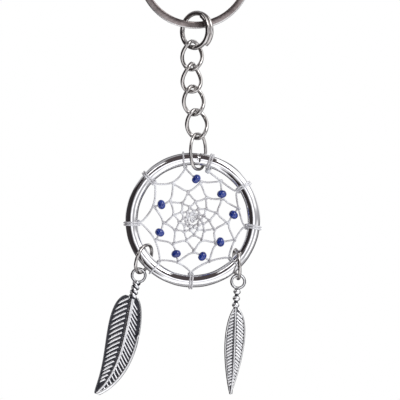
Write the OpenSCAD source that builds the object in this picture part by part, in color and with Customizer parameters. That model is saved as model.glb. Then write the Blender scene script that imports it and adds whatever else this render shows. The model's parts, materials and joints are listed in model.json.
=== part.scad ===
// Dream catcher key charm: a split key ring, a short twisted-link chain, a metal hoop
// with a woven net of glossy thread and glass beads, and two hanging metal feathers.
// Millimetres. Origin at the centre of the key ring, +Z up, the front faces -Y.

/* [Key ring] */
// Outside diameter of the split key ring
key_od = 30; // [28:0.5:31]
// Radial width of the flattened ring wire
key_band = 1.9; // [1.6:0.1:2.2]
// Thickness of each of the two coils
key_coil = 1.0; // [0.8:0.1:1.1]

/* [Top jump ring] */
// Diameter of the jump ring at the middle of its wire
jump_d = 9; // [8.8:0.1:9.2]
// Wire diameter of the jump ring
jump_wire = 1.3; // [1.1:0.1:1.3]
// Degrees by which the two wire ends overlap
jump_overlap = 110; // [20:10:130]

/* [Chain] */
// Wire diameter of the four twisted links
link_wire = 1.04; // [0.8:0.02:1.06]
// Length of a link at the middle of its wire
link_len = 7.35; // [7.3:0.05:7.4]
// Width of a link at the middle of its wire
link_wid = 5.2; // [5:0.1:5.4]
// Twist of each end of a link
link_twist = 45; // [40:1:50]
// Wire diameter of the link that holds the hoop
hoop_link_wire = 0.84; // [0.7:0.02:0.9]

/* [Hoop] */
// Diameter of the hoop at the middle of its wire
hoop_d = 31.8; // [31.6:0.1:32]
// Diameter of the hoop's round wire
hoop_wire = 3.4; // [3.2:0.1:3.4]

/* [Net] */
// Diameter of the thread
thread_d = 0.55; // [0.4:0.05:0.6]
// Rounds of stitches inside the hitches
rounds = 5; // [3:1:5]
// Diameter of the beads
bead_d = 2.45; // [2:0.05:2.5]
// Length of the beads along the thread
bead_len = 1.9; // [1.4:0.1:1.9]
// Diameter of the hole in the beads
bead_hole = 0.8; // [0.7:0.02:0.86]

/* [Lower jump rings] */
// Diameter of the lower jump rings at the middle of their wire
small_d = 7.6; // [7.4:0.1:7.6]
// Wire diameter of the lower jump rings
small_wire = 0.9; // [0.8:0.05:0.95]

/* [Feathers] */
// Thickness of the feather blades
blade_t = 1.0; // [0.8:0.1:1.2]
// Length of the left feather's blade
left_len = 27.4; // [26:0.2:28]
// Width of the left feather's blade
left_wid = 8.6; // [8:0.1:9]
// Length of the right feather's blade
right_len = 23; // [22:0.2:24]
// Width of the right feather's blade
right_wid = 5.4; // [5:0.1:6]

/* [Hidden] */
$fn = 48;

// Places, each the centre of its piece
jump_c = [0, 0, -15.4];
jump_yaw = -38;
// Centre, yaw and lean of each chain link
links = [
    [[-0.7, 0.3, -21.9], 10, 4],
    [[-0.8, 0, -27.65], 30, 2],
    [[-0.4, 0, -33.6], 10, -4],
    [[0.45, 0, -39.75], 5, -5]];
hoop_link_c = [0.8, 0, -46.9];
hoop_link_size = [6.8, 9.2];
hoop_link_yaw = 55;
hoop_c = [-0.6, 0, -64.7];
hoop_r = hoop_d / 2;

// The net: hand-spaced hitches step clockwise round the hoop, and each later stitch
// hangs on the thread between two earlier ones, pulled a little further in
hitch_at = [73, 33, -7, -46, -92, -129, -177, -224, -262];
hitches = len(hitch_at);
hitch_r = 13.3;
stitch_share = 0.48;
wrap_r = hoop_wire / 2 + thread_d / 2 + 0.05;
last_stitch = hitches * (rounds + 1) - 1;
function pull(k) = max(0.74, 1 - 0.022 * (k - hitches));
function stitch(k) = k < hitches
    ? hitch_r * turn(hitch_at[k])
    : let (a = stitch(k - hitches), b = stitch(k - hitches + 1))
        pull(k) * (a + stitch_share * (b - a));
stitches = [for (k = [0:last_stitch]) stitch(k)];

// How far along its strand each bead sits, starting from the last hitch
bead_share = [0.7, 0.7, 0.42, 0.72, 0.44, 0.42, 0.42, 0.42];

// Lower jump rings: place round the hoop, direction of hang, turn about it
left_at = -142.5;
left_hang = 20;
left_yaw = 64;
right_at = -44;
right_hang = -5;
right_yaw = -80;
small_drop = 0.42;

// Feathers: the eye hangs this far below the wire it is threaded on
eye_drop = 0.75;
eye_outer_r = 2;
left_lean = 15.5;
right_lean = 6;
// Sideways sway of each middle rib, then how far its tip bends back
left_rib = [2.35, 5];
right_rib = [1.9, 0.8];
// Widest half width, and two shape numbers, of the left and right vane of each blade
left_vanes = [[0.57 * left_wid, 0.6, 0.6], [0.43 * left_wid, 0.75, 0.45]];
right_vanes = [[0.49 * right_wid, 0.85, 0.7], [0.51 * right_wid, 0.55, 0.95]];

function unit(v) = v / norm(v);
function turn(a) = [cos(a), 0, sin(a)];
function on_hoop(a, r) = hoop_c + r * turn(a);
function upward(lean) = [sin(lean), 0, cos(lean)];
function small_ring_c(at, hang) = on_hoop(at, hoop_r) - small_drop * upward(hang);
function eye_c(at, hang) =
    small_ring_c(at, hang) - small_d / 2 * upward(hang) - [0, 0, eye_drop];

// One ring of points round a wire that circles the origin
function wire_ring(p, along, r, sides) =
    let (s = unit(cross(along, p)), n = cross(s, along))
    [for (k = [0:sides - 1]) p + r * (cos(360 * k / sides) * s + sin(360 * k / sides) * n)];

// A round wire along a path of points; a closed path joins its end to its start
module wire(path, r, sides, closed) {
    n = len(path);
    rings = [for (i = [0:n - 1])
        let (before = path[closed ? (i + n - 1) % n : max(i - 1, 0)])
        let (after = path[closed ? (i + 1) % n : min(i + 1, n - 1)])
        wire_ring(path[i], unit(after - before), r, sides)];
    spans = closed ? n : n - 1;
    skin = [for (i = [0:spans - 1]) for (k = [0:sides - 1])
        let (a = i * sides + k, b = i * sides + (k + 1) % sides)
        let (c = ((i + 1) % n) * sides + k, d = ((i + 1) % n) * sides + (k + 1) % sides)
        each [[a, b, d], [a, d, c]]];
    ends = closed ? [] : [[for (k = [sides - 1:-1:0]) k],
        [for (k = [0:sides - 1]) (n - 1) * sides + k]];
    polyhedron(points = [for (ring = rings) each ring], faces = concat(skin, ends));
}

// An upright oval whose top and bottom are turned opposite ways
function oval(length, width, twist, count) = [for (i = [0:count - 1])
    let (t = 360 * i / count, w = sign(cos(t)) * pow(abs(cos(t)), 0.8) * width / 2)
    [w * cos(twist * sin(t)), w * sin(twist * sin(t)), length / 2 * sin(t)]];

// A ring of round wire in the XZ plane, with a saw cut at an angle
module cut_ring(d, wire_d, cut_at, cut) {
    rotate([90, 0, 0])
        rotate([0, 0, cut_at + cut / 2])
            rotate_extrude(angle = 360 - cut)
                translate([d / 2, 0])
                    circle(d = wire_d);
}

// Level of the split ring's wire after an angle: front coil, a short step, back coil
function coil_level(t, step_at, step) =
    let (s = min(max((t - step_at) / step, 0), 1))
    (key_coil / 2 + 0.01) * (1 - 2 * s * s * (3 - 2 * s));

// One flattened wire wound twice, with its two ends beside the step
module key_ring() {
    steps = 110;
    start = 283;
    step = 28;
    total = 720 - step - 8;
    corner = 0.25;
    r = key_od / 2 - key_band / 2;
    w = key_band / 2;
    h = key_coil / 2;
    section = [[w - corner, -h], [w, corner - h], [w, h - corner], [w - corner, h],
        [corner - w, h], [-w, h - corner], [-w, corner - h], [corner - w, -h]];
    sides = len(section);
    rings = [for (i = [0:steps])
        let (t = total * i / steps, y = coil_level(t, 360 - step, step))
        [for (c = section) (r + c[0]) * turn(start + t) - [0, y + c[1], 0]]];
    skin = [for (i = [0:steps - 1]) for (k = [0:sides - 1])
        let (a = i * sides + k, b = i * sides + (k + 1) % sides)
        each [[a, b, b + sides], [a, b + sides, a + sides]]];
    ends = [[for (k = [sides - 1:-1:0]) k], [for (k = [0:sides - 1]) steps * sides + k]];
    color("lightslategray")
        polyhedron(points = [for (ring = rings) each ring], faces = concat(skin, ends));
}

module top_jump_ring() {
    steps = 46;
    pitch = jump_wire + 0.12;
    sweep = 360 + jump_overlap;
    path = [for (i = [0:steps])
        let (t = sweep * (i / steps - 0.5), a = t + 180)
        [jump_d / 2 * cos(a), -pitch * t / 360, jump_d / 2 * sin(a)]];
    color("silver")
        translate(jump_c)
            rotate([0, 0, jump_yaw])
                wire(path, jump_wire / 2, 12, false);
}

module chain_link(i) {
    color("silver")
        translate(links[i][0])
            rotate([0, links[i][2], 0])
                rotate([0, 0, links[i][1]])
                    wire(oval(link_len, link_wid, link_twist, 40), link_wire / 2, 12, true);
}

module hoop_link() {
    color("silver")
        translate(hoop_link_c)
            rotate([0, 0, hoop_link_yaw])
                wire(oval(hoop_link_size[1], hoop_link_size[0], 0, 40),
                    hoop_link_wire / 2, 12, true);
}

module hoop() {
    color("gainsboro")
        translate(hoop_c)
            rotate([90, 0, 0])
                rotate_extrude()
                    translate([hoop_r, 0])
                        circle(d = hoop_wire);
}

// A straight run of thread
module strand(a, b) {
    hull()
        for (p = [a, b])
            translate(p)
                sphere(d = thread_d, $fn = 5);
}

// The loop that a hitch throws round the hoop's wire
module wrap(a) {
    translate(on_hoop(a, hoop_r))
        rotate([0, 90 - a, 0])
            rotate([0, 90, 0])
                rotate([0, 0, 9])
                    rotate_extrude($fn = 20)
                        translate([wrap_r, 0])
                            circle(d = thread_d, $fn = 6);
}

module web_thread() {
    knot_d = thread_d * 1.5;
    color("whitesmoke") {
        for (k = [0:hitches - 1]) {
            wrap(hitch_at[k]);
            strand(on_hoop(hitch_at[k], hoop_r - wrap_r), hoop_c + stitches[k]);
        }
        for (k = [0:last_stitch])
            translate(hoop_c + stitches[k])
                rotate([7 * k, 11 * k, 3])
                    sphere(d = knot_d, $fn = 6);
        for (k = [hitches:last_stitch]) {
            strand(hoop_c + stitches[k - hitches], hoop_c + stitches[k]);
            strand(hoop_c + stitches[k], hoop_c + stitches[k - hitches + 1]);
        }
        for (k = [last_stitch - hitches + 1:last_stitch - 1])
            strand(hoop_c + stitches[k], hoop_c + stitches[k + 1]);
    }
}

// The drop of clear glue that holds the thread's first knot
module glue_drop() {
    color("white", 0.6)
        translate(on_hoop(hitch_at[0], hoop_r - hoop_wire / 2 - 0.9))
            sphere(d = 1.5);
}

// Bead on the strand that runs inwards from stitch number i + hitches - 1
module bead(i) {
    a = stitches[i + hitches - 1];
    b = stitches[i + 2 * hitches - 1];
    turned = atan2(b[2] - a[2], b[0] - a[0]);
    round_r = 1;
    color("mediumblue")
        translate(hoop_c + a + bead_share[i] * (b - a))
            rotate([0, 90 - turned, 0])
                difference() {
                    rotate_extrude()
                        intersection() {
                            translate([bead_d / 2 - round_r, 0])
                                circle(r = round_r);
                            translate([0, -bead_len / 2])
                                square([bead_d, bead_len]);
                        }
                    cylinder(d = bead_hole, h = bead_len * 2, center = true);
                }
}

module small_ring(at, hang, yaw, cut_at) {
    translate(small_ring_c(at, hang))
        rotate([0, hang, 0])
            rotate([0, 0, yaw])
                cut_ring(small_d, small_wire, cut_at, 3);
}

module left_jump_ring() {
    color("silver")
        small_ring(left_at, left_hang, left_yaw, -150);
}

module right_jump_ring() {
    color("silver")
        small_ring(right_at, right_hang, right_yaw, -30);
}

// Width of one vane at a share s of the blade's length
function vane(s, v) = v[0] * pow(sin(180 * pow(s, v[1])), v[2]);

// Sideways run of a blade's middle rib
function rib(s, r) = r[0] * s - r[1] * pow(s, 4);

// A blade that hangs from z = 0, flat in the XZ plane, with a raised rib
module blade(length, run, vanes, rib_d) {
    count = 20;
    shares = [for (i = [0:count]) 0.01 + 0.98 * i / count];
    back = [for (i = [count:-1:0]) shares[i]];
    outline = concat(
        [for (s = shares) [rib(s, run) - vane(s, vanes[0]), -length * s]],
        [for (s = back) [rib(s, run) + vane(s, vanes[1]), -length * s]]);
    rib_outline = concat(
        [for (s = shares) [rib(s, run) - rib_d / 2 * (1.2 - s), -length * s]],
        [for (s = back) [rib(s, run) + rib_d / 2 * (1.2 - s), -length * s]]);
    rotate([90, 0, 0]) {
        linear_extrude(height = blade_t, center = true)
            polygon(outline);
        linear_extrude(height = blade_t * 1.5, center = true)
            polygon(rib_outline);
    }
}

// The eye at the top of a feather
module eye(inner_r) {
    rotate([90, 0, 0])
        rotate_extrude()
            translate([(eye_outer_r + inner_r) / 2, 0])
                circle(r = (eye_outer_r - inner_r) / 2);
}

module left_feather() {
    stem_len = 4.5;
    stem_d = 2.2;
    overlap = 0.2;
    color("darkgray")
        translate(eye_c(left_at, left_hang))
            rotate([0, left_lean, 0]) {
                eye(1.35);
                translate([0, 0, -eye_outer_r - stem_len + overlap])
                    cylinder(d1 = stem_d * 0.8, d2 = stem_d, h = stem_len);
                translate([0, 0, -eye_outer_r - stem_len + 1])
                    blade(left_len, left_rib, left_vanes, 1.2);
            }
}

module right_feather() {
    ball_d = 2;
    ball_step = 1.75;
    balls = 3;
    first_ball = eye_outer_r + ball_d / 2 - 0.35;
    color("darkgray")
        translate(eye_c(right_at, right_hang))
            rotate([0, right_lean, 0]) {
                eye(1.3);
                for (k = [0:balls - 1])
                    translate([0, 0, -first_ball - k * ball_step])
                        sphere(d = ball_d);
                translate([0, 0, -first_ball - (balls - 0.7) * ball_step])
                    blade(right_len, right_rib, right_vanes, 1.0);
            }
}

key_ring();
top_jump_ring();
chain_link(0);  // chain_link_1
chain_link(1);  // chain_link_2
chain_link(2);  // chain_link_3
chain_link(3);  // chain_link_4
hoop_link();
hoop();
web_thread();
glue_drop();
bead(0);  // bead_1
bead(1);  // bead_2
bead(2);  // bead_3
bead(3);  // bead_4
bead(4);  // bead_5
bead(5);  // bead_6
bead(6);  // bead_7
bead(7);  // bead_8
left_jump_ring();
left_feather();
right_jump_ring();
right_feather();
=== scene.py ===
"""Dream catcher key charm: wires, net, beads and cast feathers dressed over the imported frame."""
import json
import math

import bpy
from mathutils import Matrix, Vector


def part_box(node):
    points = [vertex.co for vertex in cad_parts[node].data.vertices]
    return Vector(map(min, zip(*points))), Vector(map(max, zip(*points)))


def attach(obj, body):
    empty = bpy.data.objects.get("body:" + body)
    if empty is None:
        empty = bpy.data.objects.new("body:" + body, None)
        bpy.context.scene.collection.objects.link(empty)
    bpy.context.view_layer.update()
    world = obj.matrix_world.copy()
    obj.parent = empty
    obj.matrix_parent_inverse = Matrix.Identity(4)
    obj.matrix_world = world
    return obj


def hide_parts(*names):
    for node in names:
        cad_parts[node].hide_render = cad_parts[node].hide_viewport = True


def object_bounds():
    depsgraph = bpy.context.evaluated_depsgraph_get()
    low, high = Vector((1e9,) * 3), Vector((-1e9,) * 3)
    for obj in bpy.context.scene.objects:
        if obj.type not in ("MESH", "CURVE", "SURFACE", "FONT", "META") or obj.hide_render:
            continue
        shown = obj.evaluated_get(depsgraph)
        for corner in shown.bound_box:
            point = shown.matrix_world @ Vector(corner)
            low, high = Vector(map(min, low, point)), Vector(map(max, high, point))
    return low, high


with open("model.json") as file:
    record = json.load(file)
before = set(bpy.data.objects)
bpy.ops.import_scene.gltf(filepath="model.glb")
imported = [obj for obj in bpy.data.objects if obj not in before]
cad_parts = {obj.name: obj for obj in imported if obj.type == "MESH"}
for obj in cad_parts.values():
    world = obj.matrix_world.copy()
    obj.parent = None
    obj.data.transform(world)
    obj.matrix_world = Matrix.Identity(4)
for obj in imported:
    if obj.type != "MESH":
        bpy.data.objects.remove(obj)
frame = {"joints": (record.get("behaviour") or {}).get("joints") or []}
cad_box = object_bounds()

MM = 0.001
JOINTS = {joint["name"]: joint for joint in frame["joints"]}
COLLECTION = bpy.context.scene.collection


# ---------- places, worked out from the frame ----------

def hinge(name):
    """Where a joint's axis passes, at rest."""
    return Vector(JOINTS[name]["pos_m"])


def middle(node):
    """The centre of a CAD node's box."""
    low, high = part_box(node)
    return (low + high) / 2


def polar(angle, radius):
    """A point in the hoop's own plane, by angle from +X towards +Z."""
    a = math.radians(angle)
    return Vector((radius * math.cos(a), 0, radius * math.sin(a)))


HOOP_LOW, HOOP_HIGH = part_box("hoop")
HOOP_C = (HOOP_LOW + HOOP_HIGH) / 2
HOOP_TUBE = (HOOP_HIGH.y - HOOP_LOW.y) / 2
HOOP_R = (HOOP_HIGH.x - HOOP_LOW.x) / 2 - HOOP_TUBE

KEY_LOW, KEY_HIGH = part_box("key_ring")
KEY_R = (KEY_HIGH.x - KEY_LOW.x) / 2


# ---------- small helpers for modelling ----------

def deselect():
    """Leave edit mode and deselect every object."""
    if bpy.context.object and bpy.context.object.mode != "OBJECT":
        bpy.ops.object.mode_set(mode="OBJECT")
    bpy.ops.object.select_all(action="DESELECT")


def pick(obj):
    """Make one object the only selected and active one."""
    deselect()
    obj.select_set(True)
    bpy.context.view_layer.objects.active = obj
    return obj


def settle(obj):
    """Put the object's place into its mesh, so the object sits unturned at the origin."""
    pick(obj)
    bpy.ops.object.transform_apply(location=True, rotation=True, scale=True)
    return obj


def unmark(mesh):
    """Deselect every vertex, edge and face, so that only what is marked next is edited."""
    for kind in (mesh.vertices, mesh.edges, mesh.polygons):
        for element in kind:
            element.select = False


def edit(select_by):
    """Open the active object for editing by VERT, EDGE or FACE, keeping what is marked."""
    bpy.ops.object.mode_set(mode="EDIT")
    bpy.ops.mesh.select_mode(type=select_by)


def apply_modifiers(obj):
    """Turn the object's modifiers into plain mesh."""
    pick(obj)
    for modifier in list(obj.modifiers):
        bpy.ops.object.modifier_apply(modifier=modifier.name)
    return obj


def tube(name, points, radius, closed=False, sides=4, smooth=60, profile=None, radii=None):
    """A wire of round section, or of a given profile, swept along points."""
    curve = bpy.data.curves.new(name, "CURVE")
    curve.dimensions = "3D"
    curve.resolution_u = 1
    curve.use_fill_caps = not closed
    if profile:
        curve.bevel_mode = "OBJECT"
        curve.bevel_object = profile
        curve.twist_mode = "Z_UP"
    else:
        curve.bevel_depth = radius
        curve.bevel_resolution = sides
    spline = curve.splines.new("POLY")
    spline.points.add(len(points) - 1)
    for i, point in enumerate(points):
        spline.points[i].co = (*point, 1)
        if radii:
            spline.points[i].radius = radii[i]
    spline.use_cyclic_u = closed
    obj = bpy.data.objects.new(name, curve)
    COLLECTION.objects.link(obj)
    pick(obj)
    bpy.ops.object.convert(target="MESH")
    obj = bpy.context.object
    bpy.ops.object.mode_set(mode="EDIT")
    bpy.ops.mesh.select_all(action="SELECT")
    bpy.ops.mesh.remove_doubles(threshold=1e-7)
    bpy.ops.mesh.normals_make_consistent(inside=False)
    bpy.ops.object.mode_set(mode="OBJECT")
    bpy.ops.object.shade_smooth_by_angle(angle=math.radians(smooth))
    return obj


def join(name, parts):
    """Make one named piece of several parts."""
    deselect()
    for part in parts:
        part.select_set(True)
    bpy.context.view_layer.objects.active = parts[0]
    if len(parts) > 1:
        bpy.ops.object.join()
    obj = bpy.context.object
    obj.name = name
    obj.data.name = name
    return obj


def copied(template, matrix):
    """A copy with its own mesh, moved by a matrix."""
    obj = template.copy()
    obj.data = template.data.copy()
    COLLECTION.objects.link(obj)
    obj.data.transform(matrix)
    return obj


def drop(obj):
    """Throw away a template or a profile that has done its work."""
    bpy.data.objects.remove(obj, do_unlink=True)


def dress(obj, node, body, material):
    """Let a finished piece stand for its CAD node."""
    if not obj.data.materials:
        obj.data.materials.append(material)
    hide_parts(node)
    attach(obj, body)
    return obj


# ---------- materials ----------

class Finish:
    """A node material with one Principled shader, built up a node at a time."""

    def __init__(self, name, color, metallic, roughness):
        self.material = bpy.data.materials.new(name)
        self.material.use_nodes = True
        self.tree = self.material.node_tree
        self.shader = self.tree.nodes["Principled BSDF"]
        self.shader.inputs["Base Color"].default_value = (*color, 1)
        self.shader.inputs["Metallic"].default_value = metallic
        self.shader.inputs["Roughness"].default_value = roughness
        self.place = self.node("ShaderNodeTexCoord")

    def node(self, kind, **values):
        """Add a node with its settings."""
        made = self.tree.nodes.new(kind)
        for key, value in values.items():
            setattr(made, key, value)
        return made

    def link(self, source, target):
        """Run an output into an input."""
        self.tree.links.new(source, target)

    def noise(self, scale, detail=4, stretch=(1, 1, 1)):
        """Noise in the object's own space, drawn out along an axis by a smaller stretch."""
        mapping = self.node("ShaderNodeMapping")
        mapping.inputs["Scale"].default_value = stretch
        self.link(self.place.outputs["Object"], mapping.inputs["Vector"])
        made = self.node("ShaderNodeTexNoise")
        made.inputs["Scale"].default_value = scale
        made.inputs["Detail"].default_value = detail
        self.link(mapping.outputs["Vector"], made.inputs["Vector"])
        return made.outputs["Fac"]

    def spread(self, source, low, high, to_low, to_high):
        """Map one range of values onto another, and stop at its ends."""
        made = self.node("ShaderNodeMapRange")
        made.inputs["From Min"].default_value = low
        made.inputs["From Max"].default_value = high
        made.inputs["To Min"].default_value = to_low
        made.inputs["To Max"].default_value = to_high
        self.link(source, made.inputs["Value"])
        return made.outputs["Result"]

    def mix(self, factor, first, second):
        """Blend two colours, each of them fixed or coming from a node."""
        made = self.node("ShaderNodeMix", data_type="RGBA")
        self.link(factor, made.inputs["Factor"])
        for socket, value in ((made.inputs["A"], first), (made.inputs["B"], second)):
            if isinstance(value, tuple):
                socket.default_value = (*value, 1)
            else:
                self.link(value, socket)
        return made.outputs["Result"]

    def colored(self, source):
        """Take the base colour from a node."""
        self.link(source, self.shader.inputs["Base Color"])

    def rough(self, source):
        """Take the roughness from a node."""
        self.link(source, self.shader.inputs["Roughness"])

    def bumped(self, source, strength, distance):
        """Raise the surface by a node's value."""
        made = self.node("ShaderNodeBump")
        made.inputs["Strength"].default_value = strength
        made.inputs["Distance"].default_value = distance
        self.link(source, made.inputs["Height"])
        self.link(made.outputs["Normal"], self.shader.inputs["Normal"])


def plated_metal(name, color, dull, roughness, scratch):
    """Bright plating: faint cloudiness, fine drawn scratches and tiny dents."""
    made = Finish(name, color, 1.0, roughness)
    cloud = made.noise(260, 3)
    made.colored(made.mix(made.spread(cloud, 0.35, 0.75, 0, 1), color, dull))
    fine = made.noise(4200, 2, (1, 1, 0.35))
    made.rough(made.spread(fine, 0.3, 0.8, roughness * 0.7, roughness * 1.8))
    made.bumped(made.noise(900, 4), scratch, 0.00004)
    return made.material


def ring_finish_with_painted_highlight():
    """Dull brownish nickel on the flat faces, with a painted highlight: the colour turns bright
    round the outer edge.
    """
    made = Finish("key_ring_nickel", (0.25, 0.22, 0.21), 1.0, 0.22)
    flat = made.node("ShaderNodeVectorMath", operation="MULTIPLY")
    flat.inputs[1].default_value = (1, 0, 1)
    made.link(made.place.outputs["Object"], flat.inputs[0])
    reach = made.node("ShaderNodeVectorMath", operation="LENGTH")
    made.link(flat.outputs["Vector"], reach.inputs[0])
    # painted highlight: a bright band of colour round the ring's outer edge, where the rounded rim
    # catches the light
    painted_edge_highlight = made.spread(reach.outputs["Value"], KEY_R - 0.38 * MM, KEY_R - 0.20 * MM, 0, 1)
    cloud = made.spread(made.noise(330, 4), 0.35, 0.72, 0, 1)
    face = made.mix(cloud, (0.30, 0.262, 0.255), (0.17, 0.142, 0.138))
    made.colored(made.mix(painted_edge_highlight, face, (0.80, 0.79, 0.79)))
    made.rough(made.spread(made.noise(3600, 3), 0.3, 0.8, 0.16, 0.36))
    made.bumped(made.noise(1300, 4), 0.4, 0.00004)
    return made.material


def thread_finish():
    """Glossy waxed nylon: pale, with grey lengths and a fine lengthways grain."""
    made = Finish("waxed_thread", (0.62, 0.63, 0.66), 0.0, 0.28)
    tone = made.noise(420, 3)
    made.colored(made.mix(made.spread(tone, 0.38, 0.72, 0, 1), (0.92, 0.93, 0.97),
                          (0.50, 0.48, 0.50)))
    made.rough(made.spread(made.noise(2600, 2), 0.3, 0.8, 0.18, 0.42))
    made.bumped(made.noise(3800, 2), 0.35, 0.00006)
    made.shader.inputs["Coat Weight"].default_value = 0.6
    made.shader.inputs["Coat Roughness"].default_value = 0.12
    return made.material


def glue_finish():
    """Dried clear glue, slightly milky and uneven."""
    made = Finish("clear_glue", (0.92, 0.95, 1.0), 0.0, 0.10)
    made.rough(made.spread(made.noise(1500, 3), 0.3, 0.8, 0.06, 0.3))
    made.bumped(made.noise(1100, 3), 0.5, 0.00012)
    made.shader.inputs["Transmission Weight"].default_value = 0.30
    made.shader.inputs["IOR"].default_value = 1.46
    return made.material


def bead_finish():
    """Opaque royal blue glass with slightly uneven colour."""
    made = Finish("blue_glass", (0.010, 0.036, 0.30), 0.0, 0.09)
    tone = made.noise(700, 3)
    made.colored(made.mix(made.spread(tone, 0.35, 0.7, 0, 1), (0.007, 0.024, 0.22),
                          (0.018, 0.062, 0.42)))
    made.rough(made.spread(made.noise(1800, 2), 0.3, 0.8, 0.05, 0.16))
    made.bumped(made.noise(900, 2), 0.25, 0.00008)
    made.shader.inputs["Coat Weight"].default_value = 0.8
    made.shader.inputs["Coat Roughness"].default_value = 0.04
    return made.material


def silver_with_painted_recess_shade(name, low, high):
    """Silver plate on a casting, with painted shade: the colour turns near black wherever the
    relief lies near its middle, in the recesses.
    """
    made = Finish(name, (0.72, 0.72, 0.73), 1.0, 0.24)
    split = made.node("ShaderNodeSeparateXYZ")
    made.link(made.place.outputs["Object"], split.inputs["Vector"])
    height = made.node("ShaderNodeMath", operation="ABSOLUTE")
    made.link(split.outputs["Y"], height.inputs[0])
    # painted shade: the colour darkens where the surface lies low in the relief, as if in shadow
    out_of_painted_shade = made.spread(height.outputs["Value"], low, high, 0, 1)
    cloud = made.spread(made.noise(650, 4), 0.35, 0.7, 0, 1)
    bright = made.mix(cloud, (0.95, 0.95, 0.96), (0.78, 0.79, 0.81))
    made.colored(made.mix(out_of_painted_shade, (0.035, 0.035, 0.045), bright))
    made.rough(made.spread(made.noise(2400, 3), 0.3, 0.8, 0.16, 0.38))
    made.bumped(made.noise(1500, 4), 0.4, 0.00006)
    return made.material


def painted_shade_metal(name, deep, thin):
    """A dark metal coloured as painted shade, for the hollows of a casting."""
    made = Finish(name, deep, 0.65, 0.42)
    tone = made.spread(made.noise(900, 4), 0.35, 0.7, 0, 1)
    made.colored(made.mix(tone, deep, thin))
    made.rough(made.spread(made.noise(2600, 2), 0.3, 0.8, 0.34, 0.55))
    made.bumped(made.noise(1900, 4), 0.5, 0.00005)
    return made.material


KEY_METAL = ring_finish_with_painted_highlight()
LINK_METAL = plated_metal("link_nickel", (0.62, 0.60, 0.59), (0.42, 0.395, 0.385), 0.10, 0.30)
HOOP_METAL = plated_metal("hoop_chrome", (0.88, 0.88, 0.89), (0.76, 0.76, 0.78), 0.06, 0.22)
THREAD = thread_finish()
# silver whose low relief carries painted shade
SILVER = silver_with_painted_recess_shade("antique_silver", 0.00020, 0.00034)
# painted shade: a near black and a grey metal that stand in for the shadow in the feathers' hollows
SHADE_DARK = painted_shade_metal("painted_shade_metal", (0.020, 0.022, 0.030), (0.085, 0.085, 0.10))
SHADE_GREY = painted_shade_metal("painted_grey_shade_metal", (0.060, 0.062, 0.070), (0.22, 0.22, 0.24))
GLUE = glue_finish()
BEAD_GLASS = bead_finish()


# ---------- key ring, chain and hoop ----------

def rounded_profile(width, height, corner):
    """A closed flat outline for a flattened wire."""
    bpy.ops.mesh.primitive_plane_add(size=1, location=(0, 0, 0))
    flat = bpy.context.object
    flat.scale = (width, height, 1)
    settle(flat)
    bpy.ops.object.mode_set(mode="EDIT")
    bpy.ops.mesh.select_all(action="SELECT")
    bpy.ops.mesh.bevel(offset=corner, segments=4, affect="VERTICES")
    bpy.ops.object.mode_set(mode="OBJECT")
    deselect()
    pick(flat)
    bpy.ops.object.mode_set(mode="EDIT")
    bpy.ops.mesh.select_all(action="SELECT")
    bpy.ops.mesh.delete(type="ONLY_FACE")
    bpy.ops.object.mode_set(mode="OBJECT")
    bpy.ops.object.convert(target="CURVE")
    return bpy.context.object


def key_ring():
    """One flattened wire wound twice, which steps from the front coil to the back one."""
    band = 1.86 * MM
    coil = 0.96 * MM
    start = 283
    jog = 28
    gap = 8
    turns = 720 - jog - gap
    rise = 0.51 * MM
    profile = rounded_profile(band, coil, 0.3 * MM)
    inset = 0.02 * MM
    radius = KEY_R - band / 2 - inset
    points = []
    steps = 400
    for i in range(steps + 1):
        t = turns * i / steps
        share = min(max((t - (360 - jog)) / jog, 0), 1)
        level = rise * (1 - 2 * share * share * (3 - 2 * share))
        a = math.radians(start + t)
        points.append((radius * math.cos(a), radius * math.sin(a), level))
    ring = tube("key_ring_wire", points, 0, profile=profile, smooth=40)
    drop(profile)
    ring.data.transform(Matrix.Rotation(math.radians(90), 4, "X"))
    dress(ring, "key_ring", "key_ring", KEY_METAL)


def swept_link(name, node, path, radius, gap_at, body):
    """A wire link whose two sawn ends meet with a hairline seam."""
    count = len(path)
    closing = 0.35
    first = int(count * gap_at)
    ordered = [path[(first + i) % count] for i in range(count)]
    start = ordered[0].lerp(ordered[-1], closing)
    end = ordered[-1].lerp(ordered[0], closing)
    ring = tube(name, [start] + ordered[1:-1] + [end], radius, sides=6, smooth=50)
    dress(ring, node, body, LINK_METAL)


def oval_path(length, width, twist, count):
    """An upright oval whose top and bottom are turned opposite ways."""
    path = []
    for i in range(count):
        t = 2 * math.pi * i / count
        across = math.copysign(abs(math.cos(t)) ** 0.8, math.cos(t)) * width / 2
        turned = math.radians(twist) * math.sin(t)
        path.append(Vector((across * math.cos(turned), across * math.sin(turned),
                            length / 2 * math.sin(t))))
    return path


def placed(path, place, yaw, lean):
    """A path drawn about the origin, turned about Z, leaned about Y and moved to its place."""
    turn = Matrix.Rotation(math.radians(lean), 4, "Y") @ Matrix.Rotation(math.radians(yaw), 4, "Z")
    return [place + turn @ point for point in path]


# node, yaw and lean in degrees, and where round the link its sawn gap is
LINK_POSES = (
    ("chain_link_1", 10, 4, 0.08),
    ("chain_link_2", 30, 2, 0.55),
    ("chain_link_3", 10, -4, 0.42),
    ("chain_link_4", 5, -5, 0.90),
)


def chain():
    """Four twisted links, then the thinner plain oval that holds the hoop."""
    for node, yaw, lean, gap_at in LINK_POSES:
        path = placed(oval_path(7.35 * MM, 5.2 * MM, 45, 120), middle(node), yaw, lean)
        swept_link(node + "_wire", node, path, 0.52 * MM, gap_at, node)
    path = placed(oval_path(9.2 * MM, 6.8 * MM, 0, 120), middle("hoop_link"), 55, 0)
    swept_link("hoop_link_wire", "hoop_link", path, 0.42 * MM, 0.97, "hoop_link")


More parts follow.
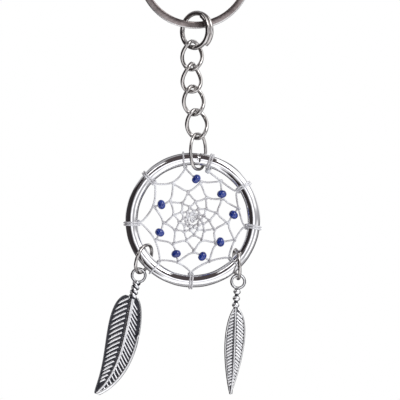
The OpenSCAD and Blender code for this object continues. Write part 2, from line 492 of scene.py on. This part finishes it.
def top_jump_ring():
    """A ring of thick wire whose ends lie side by side for a third of a turn."""
    radius = 4.5 * MM
    pitch = 1.42 * MM
    sweep = 470
    steps = 150
    path = []
    for i in range(steps + 1):
        t = sweep * (i / steps - 0.5)
        a = math.radians(t + 180)
        path.append(Vector((radius * math.cos(a), -pitch * t / 360, radius * math.sin(a))))
    ring = tube("top_jump_ring_wire", placed(path, middle("top_jump_ring"), -38, 0),
                0.65 * MM, sides=6, smooth=50)
    dress(ring, "top_jump_ring", "top_jump_ring", LINK_METAL)


def lower_ring(side, yaw, lean, gap_at):
    """A plain jump ring round the hoop's wire, which carries a feather."""
    node = side + "_jump_ring"
    path = [polar(360 * i / 120, 3.8 * MM) for i in range(120)]
    swept_link(node + "_wire", node, placed(path, middle(node), yaw, lean), 0.45 * MM,
               gap_at, node)


HOOP_SEAM_AT = 84
HOOP_THINNING = 0.012
# the wire's waves round the hoop: how many, how high as a share of its radius, and their phase
HOOP_WAVES = ((7, 0.010, 1), (17, 0.008, 0), (31, 0.005, 2))


def butt_seam(ring, angle):
    """The fine groove where the two ends of the hoop's wire were soldered together."""
    across = polar(angle + 90, 1)
    seam = HOOP_C + polar(angle, HOOP_R)
    half_width = 0.10 * MM
    reach = 3 * MM
    depth = 0.08
    for shift in (-half_width, 0, half_width):
        pick(ring)
        near = {vertex.index for vertex in ring.data.vertices
                if (vertex.co - seam).length < reach}
        for vertex in ring.data.vertices:
            vertex.select = vertex.index in near
        for kind in (ring.data.edges, ring.data.polygons):
            for element in kind:
                element.select = near.issuperset(element.vertices)
        bpy.ops.object.mode_set(mode="EDIT")
        bpy.ops.mesh.bisect(plane_co=seam + across * shift, plane_no=across)
        bpy.ops.object.mode_set(mode="OBJECT")
    for vertex in ring.data.vertices:
        out = vertex.co - seam
        if abs(out.dot(across)) < 0.01 * MM and out.length < 2 * HOOP_TUBE:
            vertex.co = seam + out * (1 - depth)


def hoop():
    """Thick round wire bent by hand, so its surface waves a little."""
    bpy.ops.mesh.primitive_torus_add(location=HOOP_C, rotation=(math.radians(90), 0, 0),
                                     major_segments=220, minor_segments=40,
                                     major_radius=HOOP_R, minor_radius=HOOP_TUBE - 0.03 * MM)
    ring = settle(bpy.context.object)
    ring.name = "hoop_wire"
    for vertex in ring.data.vertices:
        out = vertex.co - HOOP_C
        a = math.atan2(out.z, out.x)
        centre = HOOP_C + Vector((math.cos(a), 0, math.sin(a))) * HOOP_R
        wave = sum(height * math.sin(turns * a + start) for turns, height, start in HOOP_WAVES)
        vertex.co = centre + (vertex.co - centre) * (1 - HOOP_THINNING + wave)
    butt_seam(ring, HOOP_SEAM_AT)
    bpy.ops.object.shade_smooth()
    dress(ring, "hoop", "hoop", HOOP_METAL)


# ---------- net ----------

# each hitch's angle round the hoop, and how often the thread goes round the wire there
HITCH_AT = (73, 33, -7, -46, -92, -129, -177, -224, -262)
WRAPS = (2, 2, 2, 1, 2, 1, 2, 2, 1)
HITCHES = len(HITCH_AT)
HITCH_R = 13.3 * MM
STITCH_SHARE = 0.48
PULL_PER_STITCH = 0.022
TIGHTEST_PULL = 0.74
ROUNDS = 6
THREAD_R = 0.25 * MM


def net_points():
    """Hitches on the hoop, then each stitch on the thread between two earlier points."""
    points = [polar(angle, HITCH_R) for angle in HITCH_AT]
    for k in range(HITCHES, HITCHES * (ROUNDS + 1)):
        pull = max(TIGHTEST_PULL, 1 - PULL_PER_STITCH * (k - HITCHES))
        first = points[k - HITCHES]
        second = points[k - HITCHES + 1]
        points.append(pull * first.lerp(second, STITCH_SHARE))
    return points


NET = net_points()


def wrap_turns(k):
    """The thread's way round the hoop's wire at a hitch, starting and ending inside."""
    turns = WRAPS[k]
    out = polar(HITCH_AT[k], 1)
    sideways = Vector((-out.z, 0, out.x))
    back = Vector((0, 1, 0))
    centre = out * HOOP_R
    radius = HOOP_TUBE + THREAD_R
    steps = 22
    path = []
    for i in range(steps * turns + 1):
        a = 2 * math.pi * i / steps
        shift = (i / (steps * turns) - 0.5) * THREAD_R * 2 * (turns + 0.4)
        path.append(centre - out * radius * math.cos(a) - back * radius * math.sin(a)
                    - sideways * shift)
    return path


def knot_turn(k, into, away):
    """A small turn of thread round the strand that a stitch hangs on."""
    here = NET[k]
    inward = -here.normalized()
    side = Vector((-inward.z, 0, inward.x))
    if (away - into).dot(side) < 0:
        side = -side
    r = THREAD_R * 1.25
    back = Vector((0, 1, 0))
    return [here + inward * r * 1.5 - side * r * 1.2,
            here - inward * r * 0.9 - side * r * 0.5 - back * r * 0.95,
            here - inward * r * 1.2 + side * r * 0.3,
            here - inward * r * 0.3 + side * r * 0.8 + back * r * 0.95,
            here + inward * r * 1.2 - side * r * 0.2 + back * r * 0.5,
            here + inward * r * 1.6 + side * r * 1.1]


def net_path():
    """The thread in the order it is woven: hitches first, then round after round."""
    last = len(NET) - 1
    path = []
    for k in range(last):
        if k < HITCHES:
            path += [NET[k]] + wrap_turns(k) + [NET[k]]
        else:
            path += knot_turn(k, NET[k - 1], NET[k + 1])
        if k + HITCHES <= last:
            path.append(NET[k + HITCHES])
    return path


def softened(path, passes):
    """Cut the corners of a path, as a real thread does."""
    for _ in range(passes):
        cut = [path[0]]
        for a, b in zip(path, path[1:]):
            cut.append(a.lerp(b, 0.25))
            cut.append(a.lerp(b, 0.75))
        cut.append(path[-1])
        path = cut
    return path


def web_thread():
    """The whole net, with the thread's end coiled into a knot at its middle."""
    path = [HOOP_C + point for point in softened(net_path(), 2)]
    net = tube("net_thread", path, THREAD_R, sides=2, smooth=80)
    centre_knot = [HOOP_C + polar(i * 67, (0.70 - 0.025 * i) * MM)
                   + Vector((0, 0.28 * MM * math.sin(i * 2.1), 0)) for i in range(19)]
    middle_knot = tube("net_middle", centre_knot, THREAD_R * 0.9, sides=2, smooth=80)
    net = join("net_thread", [net, middle_knot])
    dress(net, "web_thread", "hoop", THREAD)


def glue_drop():
    """A lump of glue over the thread's first knot."""
    bpy.ops.mesh.primitive_uv_sphere_add(segments=32, ring_count=20, radius=0.72 * MM,
                                         location=middle("glue_drop"))
    blob = settle(bpy.context.object)
    blob.name = "glue_on_knot"
    centre = middle("glue_drop")
    for vertex in blob.data.vertices:
        out = vertex.co - centre
        lump = 1 + 0.08 * math.sin(5.2 * out.x / MM) + 0.07 * math.sin(6.1 * out.z / MM + 1)
        vertex.co = centre + out * min(lump, 1.04) * 0.96
    bpy.ops.object.shade_smooth()
    dress(blob, "glue_drop", "hoop", GLUE)


def bead(i):
    """A pressed glass ring: round outside, with a polished hole along the thread."""
    node = f"bead_{i}"
    joint = JOINTS[f"{node}_spin"]
    axis = Vector(joint["axis"])
    radius = 1.26 * MM
    roundness = 0.985 * MM
    hole = 0.42 * MM
    half = 1.00 * MM
    bpy.ops.mesh.primitive_circle_add(vertices=40, radius=roundness,
                                      rotation=(math.radians(90), 0, 0),
                                      location=(radius - roundness, 0, 0))
    made = settle(bpy.context.object)
    for vertex in made.data.vertices:
        vertex.co.x = max(vertex.co.x, hole)
        vertex.co.z = min(max(vertex.co.z, -half), half)
    bpy.ops.object.mode_set(mode="EDIT")
    bpy.ops.mesh.select_all(action="SELECT")
    bpy.ops.mesh.spin(steps=40, angle=2 * math.pi, center=(0, 0, 0), axis=(0, 0, 1))
    bpy.ops.mesh.select_all(action="SELECT")
    bpy.ops.mesh.remove_doubles(threshold=0.004 * MM)
    bpy.ops.mesh.normals_make_consistent(inside=False)
    bpy.ops.object.mode_set(mode="OBJECT")
    made.name = f"glass_bead_{i}"
    turn = Vector((0, 0, 1)).rotation_difference(axis).to_matrix().to_4x4()
    made.data.transform(Matrix.Translation(Vector(joint["pos_m"])) @ turn)
    pick(made)
    bpy.ops.object.shade_smooth()
    dress(made, node, node, BEAD_GLASS)


# ---------- feathers ----------

# the share of a blade's length at which the left feather's right vane is notched
NOTCH_AT = 0.36


class Feather:
    """A cast feather in its own upright frame: eye at the origin, blade down -Z.

    rib holds how far the middle rib sways right and how far it bends back left, in mm.
    vanes holds, for left and right, the width in mm and the fullness and bluntness of the
    outline. The notch, the core's drops and the measures of the barbs are in mm too, and all
    other lengths are in metres.
    """

    def __init__(self, side, top, length, rib, vanes, lean, plate_shade):
        self.side = side
        self.top = top
        self.length = length
        self.rib_bend = rib
        self.vanes = vanes
        self.lean = lean
        self.silver = SILVER
        self.plate_shade = plate_shade
        self.parts = []

    def add(self, part, material):
        """Keep a part of the casting, in its own finish."""
        part.data.materials.clear()
        part.data.materials.append(material)
        self.parts.append(part)
        return part

    def rib(self, share):
        """The middle rib's place at a share of the blade's length."""
        sway, back = self.rib_bend
        return Vector(((sway * share - back * share ** 4) * MM, 0, -self.top - self.length * share))

    def vane(self, share, hand):
        """Width of the left (-1) or right (1) vane at a share of the length."""
        width, fullness, bluntness = self.vanes[0 if hand < 0 else 1]
        share = min(max(share, 0.004), 0.996)
        return width * MM * math.sin(math.pi * share ** fullness) ** bluntness

    def edge(self, share, hand, inside=0.0):
        """A point on the outline, or a little inside it."""
        return self.rib(share) + Vector((hand * (self.vane(share, hand) - inside), 0, 0))

    def plate(self, thickness, steps, notch):
        """The thin web between the barbs, drawn out row by row from one edge, in a dark finish that
        stands in as painted shade.
        """
        notch_reach = 0.022
        rows = [0.010 + 0.982 * i / steps for i in range(steps + 1)]
        bpy.ops.mesh.primitive_plane_add(size=1)
        made = bpy.context.object
        corners = [self.edge(rows[0], -1), self.edge(rows[0], 1),
                   self.edge(rows[1], -1), self.edge(rows[1], 1)]
        for vertex, corner in zip(made.data.vertices, corners):
            vertex.co = corner
        ends = [2, 3]
        for share in rows[2:]:
            dent = notch * math.exp(-((share - NOTCH_AT) / notch_reach) ** 2) * MM
            pick(made)
            unmark(made.data)
            for vertex in made.data.vertices:
                vertex.select = vertex.index in ends
            for edge in made.data.edges:
                edge.select = set(edge.vertices) == set(ends)
            edit("EDGE")
            bpy.ops.mesh.extrude_edges_move()
            bpy.ops.object.mode_set(mode="OBJECT")
            fresh = [v.index for v in made.data.vertices if v.select]
            ends = [min(fresh), max(fresh)]
            if made.data.vertices[ends[0]].co.x > made.data.vertices[ends[1]].co.x:
                ends.reverse()
            made.data.vertices[ends[0]].co = self.edge(share, -1)
            made.data.vertices[ends[1]].co = self.edge(share, 1, dent)
        solid = made.modifiers.new("thickness", "SOLIDIFY")
        solid.thickness = thickness
        solid.offset = 0
        apply_modifiers(made)
        # painted shade: the web is coloured dark to stand for the shadow between the barbs
        self.add(made, self.plate_shade)

    def barb_template(self):
        """One barb lying along +X from 0 to 1, rounded on top and drawn to a blunt tip."""
        bpy.ops.mesh.primitive_cube_add(size=1, location=(0.05, 0, 0))
        made = bpy.context.object
        made.scale = (0.1, 1, 1)
        settle(made)
        unmark(made.data)
        for edge in made.data.edges:
            a, b = (made.data.vertices[index].co for index in edge.vertices)
            edge.select = abs(a.x - b.x) > 0.05
        edit("EDGE")
        bpy.ops.mesh.bevel(offset=0.24, segments=2)
        bpy.ops.object.mode_set(mode="OBJECT")
        steps = 6
        for i in range(steps):
            unmark(made.data)
            for face in made.data.polygons:
                face.select = face.normal.x > 0.9
            edit("FACE")
            bpy.ops.mesh.extrude_region_move(
                TRANSFORM_OT_translate={"value": (0.9 / steps, 0, 0)})
            shrink = 0.98 if i < steps - 1 else 0.55
            bpy.ops.transform.resize(value=(1, shrink, shrink))
            bpy.ops.object.mode_set(mode="OBJECT")
        return made

    def barbs(self, template, hand, count, slope, thick, tall, curl, span, gap, short):
        """Barbs from beside the rib towards the outline, each sloping down and out.

        slope is in degrees below level. gap is the clear space from the rib's middle, and short
        is how far the tips stop inside the outline, above and below the notch.
        """
        step = 0.006
        most_steps = 60
        shortest = 0.3 * MM
        full_gap_length = 2.6 * MM
        for share in along(count, *span):
            root = self.rib(share)
            reach = share
            for _ in range(most_steps):
                reach += step
                inside = short[0 if reach < NOTCH_AT else 1] * MM
                tip = self.edge(min(reach, 0.99), hand, inside)
                run = tip - root
                if -run.z >= math.tan(math.radians(slope)) * abs(run.x):
                    break
            away = run.normalized()
            begin = root + away * gap * MM * min(1, run.length / full_gap_length)
            length = (tip - begin).length
            if run.x * hand <= 0 or length < shortest:
                continue
            size = Matrix.Diagonal((length, tall * MM, thick * MM, 1))
            turn = Matrix.Rotation(-math.atan2(away.z, away.x), 4, "Y")
            barb = copied(template, Matrix.Translation(begin) @ turn @ size)
            for vertex in barb.data.vertices:
                part_way = min(max((vertex.co - begin).dot(away) / length, 0), 1)
                vertex.co.z += curl * length * math.sin(math.pi * part_way)
            self.add(barb, self.silver)

    def wire(self, points, radius, radii=None, sides=4, flat=1.0, material=None):
        """A raised line of the casting, pressed flatter or fuller towards front and back."""
        made = tube("part", points, radius, sides=sides, radii=radii, smooth=70)
        for vertex in made.data.vertices:
            vertex.co.y *= flat
        self.add(made, material or self.silver)

    def mould_line(self, made, centre, beyond):
        """Raise the fine ridge that the two halves of the mould leave round a casting."""
        pick(made)
        unmark(made.data)
        for vertex in made.data.vertices:
            out = vertex.co - centre
            vertex.select = abs(out.y) < 0.001 * MM and out.length > beyond
        edit("VERT")
        bpy.ops.transform.resize(value=(1.035, 1, 1.035), center_override=centre)
        bpy.ops.object.mode_set(mode="OBJECT")

    def core(self, start, end, radius):
        """A dark core of the stem, from and to a drop in mm below the eye's centre, which stands in
        as painted shade between the strands and balls.
        """
        points = [Vector((0, 0, -drop_by * MM)) for drop_by in along(12, start, end)]
        # painted shade: a dark cylinder inside the stem, seen only in the gaps of the relief
        self.wire(points, radius, material=SHADE_DARK)

    def eye(self, outer, inner):
        """The ring that the feather hangs by."""
        bpy.ops.mesh.primitive_torus_add(rotation=(math.radians(90), 0, 0),
                                         major_segments=64, minor_segments=20,
                                         major_radius=(outer + inner) / 2,
                                         minor_radius=(outer - inner) / 2)
        made = settle(bpy.context.object)
        self.mould_line(made, Vector(), (outer + inner) / 2)
        bpy.ops.object.shade_smooth()
        self.add(made, self.silver)

    def ball(self, drop_by, radius, squash=1.0):
        """A cast ball on the stem."""
        bpy.ops.mesh.primitive_uv_sphere_add(segments=32, ring_count=18, radius=radius,
                                             location=(0, 0, -drop_by))
        made = bpy.context.object
        made.scale = (1, 1, squash)
        settle(made)
        self.mould_line(made, Vector((0, 0, -drop_by)), 0)
        bpy.ops.object.shade_smooth()
        self.add(made, self.silver)

    def finish(self):
        """Join the casting, lean it and hang it by its eye."""
        node = self.side + "_feather"
        made = join(self.side + "_feather_casting", self.parts)
        eye_c = hinge(node + "_swing") - Vector((0, 0, 0.75 * MM))
        made.data.transform(Matrix.Translation(eye_c)
                            @ Matrix.Rotation(math.radians(self.lean), 4, "Y"))
        pick(made)
        bpy.ops.object.shade_smooth_by_angle(angle=math.radians(40))
        dress(made, node, node, self.silver)


def along(count, start, end):
    """Evenly spaced values from start to end."""
    return [start + (end - start) * i / (count - 1) for i in range(count)]


def rope_strand(phase, turns, start, drop_by):
    """One strand of a rope-twist stem, in mm below the eye's centre."""
    strand = []
    for share in along(90, 0, 1):
        a = phase + share * math.pi * 2 * turns
        strand.append(Vector((0.70 * MM * math.cos(a), 0.66 * MM * math.sin(a),
                              -(start + drop_by * share) * MM)))
    return strand


def left_feather():
    """The broad feather: spaced bright barbs on its left, close slits on its right."""
    # the web between this feather's barbs takes the near black finish of painted shade
    feather = Feather("left", top=5.5 * MM, length=27.3 * MM, rib=(2.35, 5.0),
                      vanes=((4.88, 0.6, 0.6), (3.68, 0.75, 0.45)), lean=15.5,
                      plate_shade=SHADE_DARK)
    feather.eye(outer=2.0 * MM, inner=1.36 * MM)
    feather.core(1.8, 6.3, 0.78 * MM)
    for phase in (0, math.pi):
        feather.wire(rope_strand(phase, turns=1.6, start=2.0, drop_by=4.1), 0.40 * MM)
    feather.ball(1.9 * MM, 0.80 * MM, squash=0.7)
    feather.plate(thickness=0.44 * MM, steps=48, notch=0.45)
    barb = feather.barb_template()
    feather.barbs(barb, -1, count=18, slope=42, thick=0.53, tall=0.92, curl=0.03,
                  span=(0.0, 0.80), gap=1.36, short=(0.50, 0.45))
    feather.barbs(barb, 1, count=23, slope=46, thick=0.42, tall=0.96, curl=-0.02,
                  span=(0.0, 0.90), gap=0.35, short=(1.10, 0.62))
    drop(barb)
    middle_rib = [feather.rib(share) for share in along(60, -0.02, 0.985)]
    feather.wire(middle_rib, 0.74 * MM, radii=along(60, 1.0, 0.60), flat=0.80)
    lower_rim = [feather.edge(share, 1, 0.42 * MM) for share in along(60, 0.36, 0.985)]
    feather.wire(lower_rim, 0.54 * MM, radii=along(60, 0.7, 1.0), sides=3, flat=0.86)
    upper_rim = [feather.edge(share, 1, 0.2 * MM) for share in along(40, 0.012, 0.35)]
    feather.wire(upper_rim, 0.22 * MM, sides=3, flat=1.5)
    left_rim = [feather.edge(share, -1, 0.12 * MM) for share in along(60, 0.012, 0.985)]
    feather.wire(left_rim, 0.14 * MM, sides=2, flat=1.8)
    feather.finish()


def right_feather():
    """The slim feather: fine close barbs in a bright rim, and a beaded stem."""
    # the web between this feather's barbs takes the grey finish of painted shade
    feather = Feather("right", top=6.68 * MM, length=22.9 * MM, rib=(1.9, 0.8),
                      vanes=((2.62, 0.85, 0.7), (2.72, 0.55, 0.95)), lean=6, plate_shade=SHADE_GREY)
    feather.eye(outer=2.0 * MM, inner=1.32 * MM)
    feather.core(1.8, 7.0, 0.50 * MM)
    for drop_by in (2.65, 4.4, 6.15):
        feather.ball(drop_by * MM, 0.94 * MM, squash=0.80)
    feather.plate(thickness=0.44 * MM, steps=40, notch=0)
    barb = feather.barb_template()
    feather.barbs(barb, -1, count=24, slope=33, thick=0.53, tall=0.90, curl=0.0,
                  span=(0.05, 0.86), gap=0.72, short=(0.30, 0.30))
    feather.barbs(barb, 1, count=22, slope=36, thick=0.56, tall=0.90, curl=0.0,
                  span=(0.05, 0.86), gap=0.50, short=(0.30, 0.30))
    drop(barb)
    middle_rib = [feather.rib(share) for share in along(60, -0.01, 0.98)]
    feather.wire(middle_rib, 0.40 * MM, radii=along(60, 1.0, 0.9), flat=1.25)
    for hand in (-1, 1):
        rim = [feather.edge(share, hand, 0.24 * MM) for share in along(60, 0.015, 0.985)]
        feather.wire(rim, 0.27 * MM, sides=3, flat=1.5)
    tip = [feather.rib(share) for share in along(12, 0.84, 0.985)]
    feather.wire(tip, 0.62 * MM, radii=along(12, 0.5, 0.7), flat=0.75)
    feather.finish()


# ---------- stage ----------

def floor():
    """A plain pale disc well below the charm."""
    bpy.ops.mesh.primitive_circle_add(vertices=96, radius=0.3, fill_type="NGON",
                                      location=(0, 0, cad_box[0][2] - 0.60))
    disc = settle(bpy.context.object)
    disc.name = "floor"
    made = Finish("pale_floor", (0.90, 0.90, 0.90), 0.0, 0.6)
    made.rough(made.spread(made.noise(40, 3), 0.3, 0.8, 0.5, 0.7))
    disc.data.materials.append(made.material)


BASE_LIGHT = (0.48, 0.475, 0.49)

# each zone of the surroundings: its direction, the angles from it within which it is full
# and beyond which it is gone, and its brightness; a later zone covers an earlier one
ROOM_ZONES = (
    ((0, 1, 0), 42, 82, (0.06, 0.056, 0.058)),
    ((0, 1, 0.1), 14, 30, (1.1, 1.1, 1.12)),
    ((0.66, 0.70, 0.30), 10, 24, (1.2, 1.2, 1.2)),
    ((-0.66, 0.70, 0.30), 10, 24, (1.2, 1.2, 1.2)),
    ((0.55, -0.5, 0.75), 20, 44, (1.9, 1.9, 1.9)),
    ((-0.35, -0.8, 0.65), 8, 20, (1.7, 1.7, 1.72)),
    ((0.9, -0.45, -0.35), 8, 22, (1.5, 1.5, 1.5)),
    ((0, -0.45, -1), 34, 50, (1.35, 1.35, 1.37)),
    ((-0.80, -0.50, 0.35), 20, 34, (0.030, 0.024, 0.026)),
    ((-0.84, -0.48, 0.0), 22, 36, (0.030, 0.024, 0.026)),
    ((-0.74, -0.56, -0.38), 20, 34, (0.030, 0.024, 0.026)),
    ((-0.98, 0.10, -0.05), 25, 42, (0.045, 0.040, 0.042)),
    ((0.05, -0.98, -0.06), 7, 15, (1.5, 1.5, 1.55)),
    ((-0.64, -0.76, 0.0), 14, 24, (0.035, 0.030, 0.032)),
    ((-0.04, -0.83, 0.55), 23, 31, (0.085, 0.070, 0.072)),
    ((-0.04, -0.35, 0.93), 20, 30, (0.085, 0.070, 0.072)),
)


def room():
    """White surroundings with the dark and bright zones that polished metal mirrors."""
    world = bpy.data.worlds.new("room")
    world.use_nodes = True
    bpy.context.scene.world = world
    tree = world.node_tree
    ground = tree.nodes["Background"]
    place = tree.nodes.new("ShaderNodeTexCoord")

    def zone(direction, near, far, color, below):
        """Lay one soft round zone over what lies below it."""
        dot = tree.nodes.new("ShaderNodeVectorMath")
        dot.operation = "DOT_PRODUCT"
        dot.inputs[1].default_value = Vector(direction).normalized()
        tree.links.new(place.outputs["Generated"], dot.inputs[0])
        fade = tree.nodes.new("ShaderNodeMapRange")
        fade.interpolation_type = "SMOOTHSTEP"
        fade.inputs["From Min"].default_value = math.cos(math.radians(far))
        fade.inputs["From Max"].default_value = math.cos(math.radians(near))
        tree.links.new(dot.outputs["Value"], fade.inputs["Value"])
        mix = tree.nodes.new("ShaderNodeMix")
        mix.data_type = "RGBA"
        tree.links.new(fade.outputs["Result"], mix.inputs["Factor"])
        if isinstance(below, tuple):
            mix.inputs["A"].default_value = (*below, 1)
        else:
            tree.links.new(below, mix.inputs["A"])
        mix.inputs["B"].default_value = (*color, 1)
        return mix.outputs["Result"]

    shade = BASE_LIGHT
    for direction, near, far, color in ROOM_ZONES:
        shade = zone(direction, near, far, color, shade)
    eye_ray = tree.nodes.new("ShaderNodeLightPath")
    final = tree.nodes.new("ShaderNodeMix")
    final.data_type = "RGBA"
    tree.links.new(eye_ray.outputs["Is Camera Ray"], final.inputs["Factor"])
    tree.links.new(shade, final.inputs["A"])
    final.inputs["B"].default_value = (1, 1, 1, 1)
    tree.links.new(final.outputs["Result"], ground.inputs["Color"])


def lamp(name, place, size, power):
    """A soft square lamp aimed at the hoop."""
    light = bpy.data.lights.new(name, "AREA")
    light.energy = power
    light.size = size
    obj = bpy.data.objects.new(name, light)
    obj.location = place
    aim = HOOP_C - Vector(place)
    obj.rotation_euler = aim.to_track_quat("-Z", "Y").to_euler()
    COLLECTION.objects.link(obj)


def camera():
    """A long lens straight in front, which cuts off the top of the key ring."""
    distance = 0.75
    view_width = 0.104
    data = bpy.data.cameras.new("camera")
    data.sensor_width = 36
    data.lens = 36 * distance / view_width
    data.clip_start = 0.01
    obj = bpy.data.objects.new("camera", data)
    obj.location = (0.0013, -distance, -0.0595)
    obj.rotation_euler = (math.radians(90), 0, 0)
    COLLECTION.objects.link(obj)
    bpy.context.scene.camera = obj


camera()
room()
lamp("key_light", (0.25, -0.35, 0.25), 0.18, 0.40)
lamp("fill_light", (-0.30, -0.42, 0.30), 0.16, 0.16)
lamp("back_light", (0.10, 0.45, 0.30), 0.20, 0.16)
floor()
bpy.context.scene.view_settings.view_transform = "Standard"

key_ring()
top_jump_ring()
chain()
hoop()
web_thread()
glue_drop()
for number in range(1, 9):
    bead(number)
lower_ring("left", 64, 20, 0.2)
lower_ring("right", -80, -5, 0.2)
left_feather()
right_feather()
